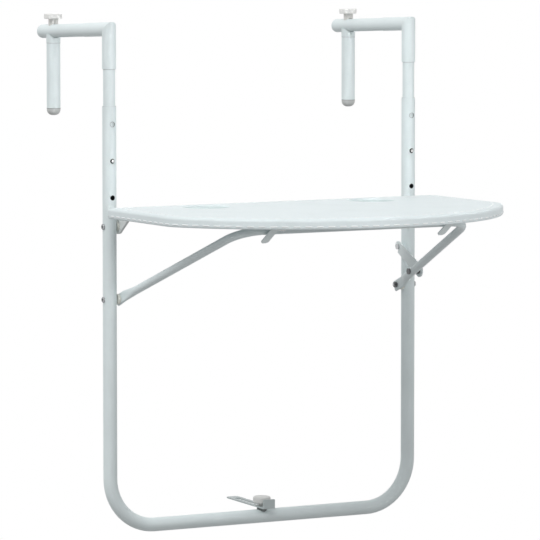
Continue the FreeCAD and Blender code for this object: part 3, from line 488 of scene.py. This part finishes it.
def panel_outline(inset):
    """Closed outline of the panel, moved in by an inset, as points from the rear edge round the front."""
    centre_y, radius = front_arc()
    rear_middle = Vector((TABLE_HALF_WIDTH - TABLE_REAR_CORNER, TABLE_REAR - TABLE_REAR_CORNER))
    side_x = TABLE_HALF_WIDTH - TABLE_SIDE_CORNER
    side_y = centre_y - math.sqrt((radius - TABLE_SIDE_CORNER) ** 2 - side_x ** 2)
    meet = math.atan2(side_y - centre_y, side_x)
    rear_radius = max(TABLE_REAR_CORNER - inset, LEAST_CORNER)
    half = arc_points(rear_middle + Vector((min(TABLE_REAR_CORNER - inset, 0.0),) * 2),
                      rear_radius, math.pi / 2, 0.0)
    half += arc_points(Vector((side_x, side_y)), TABLE_SIDE_CORNER - inset, 0.0, meet)
    half += arc_points(Vector((0.0, centre_y)), radius - inset, meet, -math.pi / 2)
    return half + [Vector((-p.x, p.y)) for p in reversed(half[:-1])]


def even_places(points, pitch):
    """Middles and directions of marks spread evenly along a closed line of points."""
    runs = [(points[k], points[(k + 1) % len(points)]) for k in range(len(points))]
    total = sum((b - a).length for a, b in runs)
    step = total / round(total / pitch)
    places = []
    walked = 0.0
    wanted = step / 2
    for start, end in runs:
        length = (end - start).length
        while wanted < walked + length:
            share = (wanted - walked) / length
            places.append((start.lerp(end, share), (end - start).normalized()))
            wanted += step
        walked += length
    return places


def clear_of_cups(place):
    """True where a mark on the top stays outside both cup recesses."""
    return all((place - Vector((side * CUP_X, CUP_Y))).length > CUP_ROOM for side in (-1, 1))


def add_stitch(mesh, place, tangent, normal, height):
    """One raised mark with round ends."""
    half_width = STITCH_WIDTH / 2
    stretch = STITCH_PITCH * STITCH_SHARE / 2 - half_width
    across = normal.cross(tangent)
    ball = bmesh.ops.create_uvsphere(mesh, u_segments=STITCH_SEGMENTS, v_segments=STITCH_RINGS, radius=1.0)
    for vert in ball["verts"]:
        side, up, along = (round(value, STITCH_DIGITS) for value in vert.co)
        end = (along > 0) - (along < 0)
        vert.co = (place + tangent * (along * half_width + end * stretch)
                   + across * side * half_width + normal * up * height)


def top_stitches(material):
    """Row of marks on the top, just inside the rim."""
    mesh = bmesh.new()
    up = Vector((0.0, 0.0, 1.0))
    for middle, along in even_places(panel_outline(TOP_STITCH_INSET), STITCH_PITCH):
        if clear_of_cups(middle):
            add_stitch(mesh, middle.to_3d() + up * TABLE_TOP, along.to_3d(), up, TOP_STITCH_HEIGHT)
    add_piece("top_stitches", mesh, material, "tabletop")


def rim_stitches(material):
    """Row of marks round the rim."""
    mesh = bmesh.new()
    level = Vector((0.0, 0.0, TABLE_UNDER + RIM_STITCH_RISE))
    for middle, along in even_places(panel_outline(0.0), STITCH_PITCH):
        outward = Vector((-along.y, along.x, 0.0))
        add_stitch(mesh, middle.to_3d() + level, along.to_3d(), outward, RIM_STITCH_HEIGHT)
    add_piece("rim_stitches", mesh, material, "tabletop")


def add_wire(mesh, points, radius):
    """Closed round wire along a loop of points."""
    centre = sum(points, Vector()) / len(points)
    turns = [2 * math.pi * j / WIRE_SIDES for j in range(WIRE_SIDES)]
    rings = []
    for k, point in enumerate(points):
        tangent = (points[(k + 1) % len(points)] - points[k - 1]).normalized()
        outward = point - centre
        outward = (outward - tangent * outward.dot(tangent)).normalized()
        across = tangent.cross(outward)
        rings.append([mesh.verts.new(point + radius * (outward * math.cos(t) + across * math.sin(t)))
                      for t in turns])
    for k, ring in enumerate(rings):
        after = rings[(k + 1) % len(rings)]
        for j in range(WIRE_SIDES):
            mesh.faces.new((ring[j - 1], ring[j], after[j], after[j - 1]))


def level_ring(middle, radius):
    """Points of a level circle."""
    turns = [2 * math.pi * k / ARC_STEPS for k in range(ARC_STEPS)]
    return [middle + radius * Vector((math.cos(t), math.sin(t), 0.0)) for t in turns]


def sleeve_shadow_line(side, material):
    """Painted shadow line under the sleeve of a hook, on the inner tube."""
    _, _, middle = node_box(side + "_inner_tube")
    sleeve, _, _ = node_box(side + "_hook_arm")
    mesh = bmesh.new()
    add_wire(mesh, level_ring(Vector((middle.x, 0.0, sleeve.z)), INNER_TUBE_RADIUS), SEAM_WIRE)
    add_piece(side + "_sleeve_shadow_line", mesh, material, side + "_hook")


def clamp_shadow_lines(side, material):
    """Painted shadow lines at both ends of a clamp tube."""
    low, high, middle = node_box(side + "_clamp_tube")
    radius = (high.x - low.x) / 2 - SEAM_WIRE / 2
    mesh = bmesh.new()
    for level in (low.z, high.z):
        add_wire(mesh, level_ring(Vector((middle.x, middle.y, level)), radius), SEAM_WIRE)
    add_piece(side + "_clamp_shadow_lines", mesh, material, side + "_clamp")


def hole_shadow_rims(material):
    """Painted shadow round the rims of the top adjusting holes, where the inner tube shows close behind."""
    mesh = bmesh.new()
    for side in SIDES:
        _, _, button = node_box(side + "_snap_button")
        rim = []
        for point in level_ring(Vector(), HOLE_RADIUS):
            front = -math.sqrt(TUBE_RADIUS ** 2 - point.x ** 2)
            rim.append(Vector((button.x + point.x, front, button.z + HOLE_PITCH + point.y)))
        add_wire(mesh, rim, HOLE_WIRE)
    add_piece("hole_shadow_rims", mesh, material, "frame")


def add_slot_shade(mesh, middle, outward):
    """Dark piece of painted shade on the floor of the cross slot in one screw head."""
    reach, half = CROSS_REACH, CROSS_HALF_WIDTH
    arm = [(half, half), (half, reach), (-half, reach)]
    outline = []
    for _ in range(CROSS_ARMS):
        outline += arm
        arm = [(-v, u) for u, v in arm]
    rims = [[mesh.verts.new(middle + Vector((outward * depth, u, v))) for u, v in outline]
            for depth in (-CROSS_FLOOR, -CROSS_SINK)]
    for rim in rims:
        mesh.faces.new(rim)
    for k in range(len(outline)):
        mesh.faces.new((rims[0][k - 1], rims[0][k], rims[1][k], rims[1][k - 1]))


def screw_slot_shades(material):
    """Painted shade in the cross slots of the four pivot screw heads."""
    mesh = bmesh.new()
    for node in ("hinge_screws", "brace_screws"):
        low, high, middle = node_box(node)
        for outward, x in ((-1, low.x), (1, high.x)):
            add_slot_shade(mesh, Vector((x, middle.y, middle.z)), outward)
    add_piece("screw_slot_shades", mesh, material, "frame")


def leaf_spring(side):
    """Copy of the leaf spring behind a snap button, riding on the hook in place of the CAD node."""
    node = side + "_button_spring"
    spring = new_object(side + "_leaf_spring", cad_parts[node].data.copy())
    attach(spring, side + "_hook")
    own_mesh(spring)
    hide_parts(node)


def dress_nodes():
    """Materials of all the CAD pieces."""
    paint(coated_tube("frame_coat", COAT_WHITE, TUBE_RADIUS), ["lower_frame"])
    paint(coated_tube("inner_tube_coat", COAT_WHITE, INNER_TUBE_RADIUS), both("inner_tube"))
    paint(powder_coat("steel_coat", COAT_WHITE), ["brace", *both("hook_arm", "clamp_tube")])
    # Lever and catch hooks: the lighter coat is painted light
    paint(powder_coat("lever_lit_coat", LEVER_LIT_WHITE), ["latch_lever", *both("catch_hook")])
    paint(powder_coat("strip_coat", STRIP_GREY), ["standoff_strip"])
    paint(woven_plastic("panel_plastic", PANEL_WHITE), ["tabletop"])
    paint(moulded_plastic("knob_plastic", KNOB_WHITE), both("clamp_knob"))
    paint(moulded_plastic("saddle_plastic", SADDLE_WHITE), both("hook_end_cap", "clamp_saddle"))
    paint(moulded_plastic("bracket_plastic", BRACKET_WHITE), both("hinge_bracket"))
    paint(moulded_plastic("cap_plastic", CAP_GREY), both("clamp_end_cap"))
    paint(moulded_plastic("standoff_plastic", STANDOFF_GREY), ["standoff_knob"])
    # Stand-off seat: its dark colour is painted shadow under the strip
    paint(moulded_plastic("seat_shadow_plastic", SEAT_SHADOW_GREY), ["standoff_seat"])
    paint(moulded_plastic("collar_plastic", COLLAR_GREY), both("clamp_collar"))
    paint(moulded_plastic("spacer_plastic", SPACER_CREAM), both("hinge_spacer", "brace_spacer"))
    paint(worked_metal("screw_steel", SCREW_STEEL), ["hinge_screws", "brace_screws"])
    paint(button_metal("button_steel", BUTTON_STEEL), both("snap_button"))
    paint(worked_metal("blued_steel", BLUED_STEEL), ["latch_bolt", "brace_nuts"])
    paint(worked_metal("zinc_steel", ZINC),
          ["hinge_nuts", "bracket_screws", "catch_screws", "latch_stud", "standoff_stud",
           *both("clamp_nut", "clamp_bolt", "button_spring")])


def seen_directly(tree):
    """One for rays that show the background itself, also in gloss and through glass."""
    rays = tree.nodes.new("ShaderNodeLightPath").outputs
    seen = rays["Is Camera Ray"]
    for name in ("Is Glossy Ray", "Is Transmission Ray"):
        seen = compute(tree, "MAXIMUM", seen, rays[name])
    return seen


def floor_paper():
    """Pale paper that keeps the shadow near the object and shows as white further out."""
    material, shader, coords = new_material("floor_paper")
    tree = material.node_tree
    shader.inputs["Roughness"].default_value = FLOOR_ROUGHNESS
    seen = seen_directly(tree)
    paper = spread(tree, noise(tree, coords, PAPER_CLOUDS), PAPER_SHADE, 1.0)
    seen_paper = compute(tree, "MULTIPLY", seen, paper)
    tree.links.new(tint(tree, seen_paper, FLOOR_SEEN, FLOOR_BOUNCE), shader.inputs["Base Color"])
    length = add_node(tree, "ShaderNodeVectorMath", {0: coords}, operation="LENGTH")
    far = add_node(tree, "ShaderNodeMapRange",
                   {"Value": length.outputs["Value"], "From Min": SHADOW_REACH, "From Max": WHITE_REACH,
                    "To Min": FLOOR_GLOW}, interpolation_type="SMOOTHSTEP")
    share = compute(tree, "MULTIPLY", far.outputs["Result"], seen)
    white = tree.nodes.new("ShaderNodeEmission")
    mix = add_node(tree, "ShaderNodeMixShader",
                   {"Fac": share, 1: shader.outputs["BSDF"], 2: white.outputs["Emission"]})
    tree.links.new(mix.outputs["Shader"], tree.nodes["Material Output"].inputs["Surface"])
    return material


def stage_floor():
    """Wide square floor below the object."""
    data = bpy.data.meshes.new("floor")
    corners = [(-1, -1), (1, -1), (1, 1), (-1, 1)]
    data.from_pydata([(x * FLOOR_REACH, y * FLOOR_REACH, 0.0) for x, y in corners], [], [(0, 1, 2, 3)])
    data.materials.append(floor_paper())
    floor = new_object("floor", data)
    floor.location.z = FLOOR_LEVEL


def stage_world():
    """Soft even surroundings that show as white."""
    world = bpy.data.worlds.new("surroundings")
    world.use_nodes = True
    tree = world.node_tree
    background = tree.nodes["Background"]
    background.inputs["Color"].default_value = opaque((1.0, 1.0, 1.0))
    strength = ramp(tree, seen_directly(tree), 0.0, 1.0, SURROUND_LEVEL, 1.0)
    tree.links.new(strength, background.inputs["Strength"])
    bpy.context.scene.world = world


def look_along(direction):
    """Turn that points a lamp or a camera along a direction."""
    return direction.to_track_quat("-Z", "Y").to_euler()


def soft_box(name, place, aim, size, power, beam):
    """Square soft light turned to a point, its beam in degrees."""
    light = bpy.data.lights.new(name, "AREA")
    light.size = size
    light.energy = power
    light.spread = math.radians(beam)
    lamp = new_object(name, light)
    lamp.location = place
    lamp.rotation_euler = look_along(aim - place)


def stage_camera():
    """Camera at the photograph's place and angle."""
    data = bpy.data.cameras.new("camera")
    data.lens = CAMERA_LENS
    data.sensor_width = SENSOR
    camera = new_object("camera", data)
    camera.location = CAMERA_PLACE
    camera.rotation_euler = look_along(CAMERA_AIM)
    bpy.context.scene.camera = camera


dress_nodes()
# Painted shade in the screw slots
screw_slot_shades(worked_metal("dark_steel", BARE_STEEL_AND_SHADE))
# Painted shadow lines at the joints and hole rims
shadow_line_material = moulded_plastic("seam_shadow", SHADOW_LINE_GREY)
hole_shadow_rims(shadow_line_material)
for hook_side in SIDES:
    leaf_spring(hook_side)
    sleeve_shadow_line(hook_side, shadow_line_material)
    clamp_shadow_lines(hook_side, shadow_line_material)
# Stitch marks: the whiter colour is a painted highlight
stitch_material = moulded_plastic("stitch_highlight_plastic", STITCH_HIGHLIGHT_WHITE)
top_stitches(stitch_material)
rim_stitches(stitch_material)
stage_floor()
stage_world()
soft_box("key", KEY_PLACE, KEY_AIM, KEY_SIZE, KEY_POWER, KEY_BEAM)
soft_box("front", FRONT_PLACE, FRONT_AIM, FRONT_SIZE, FRONT_POWER, FRONT_BEAM)
stage_camera()
bpy.context.scene.view_settings.view_transform = "Standard"
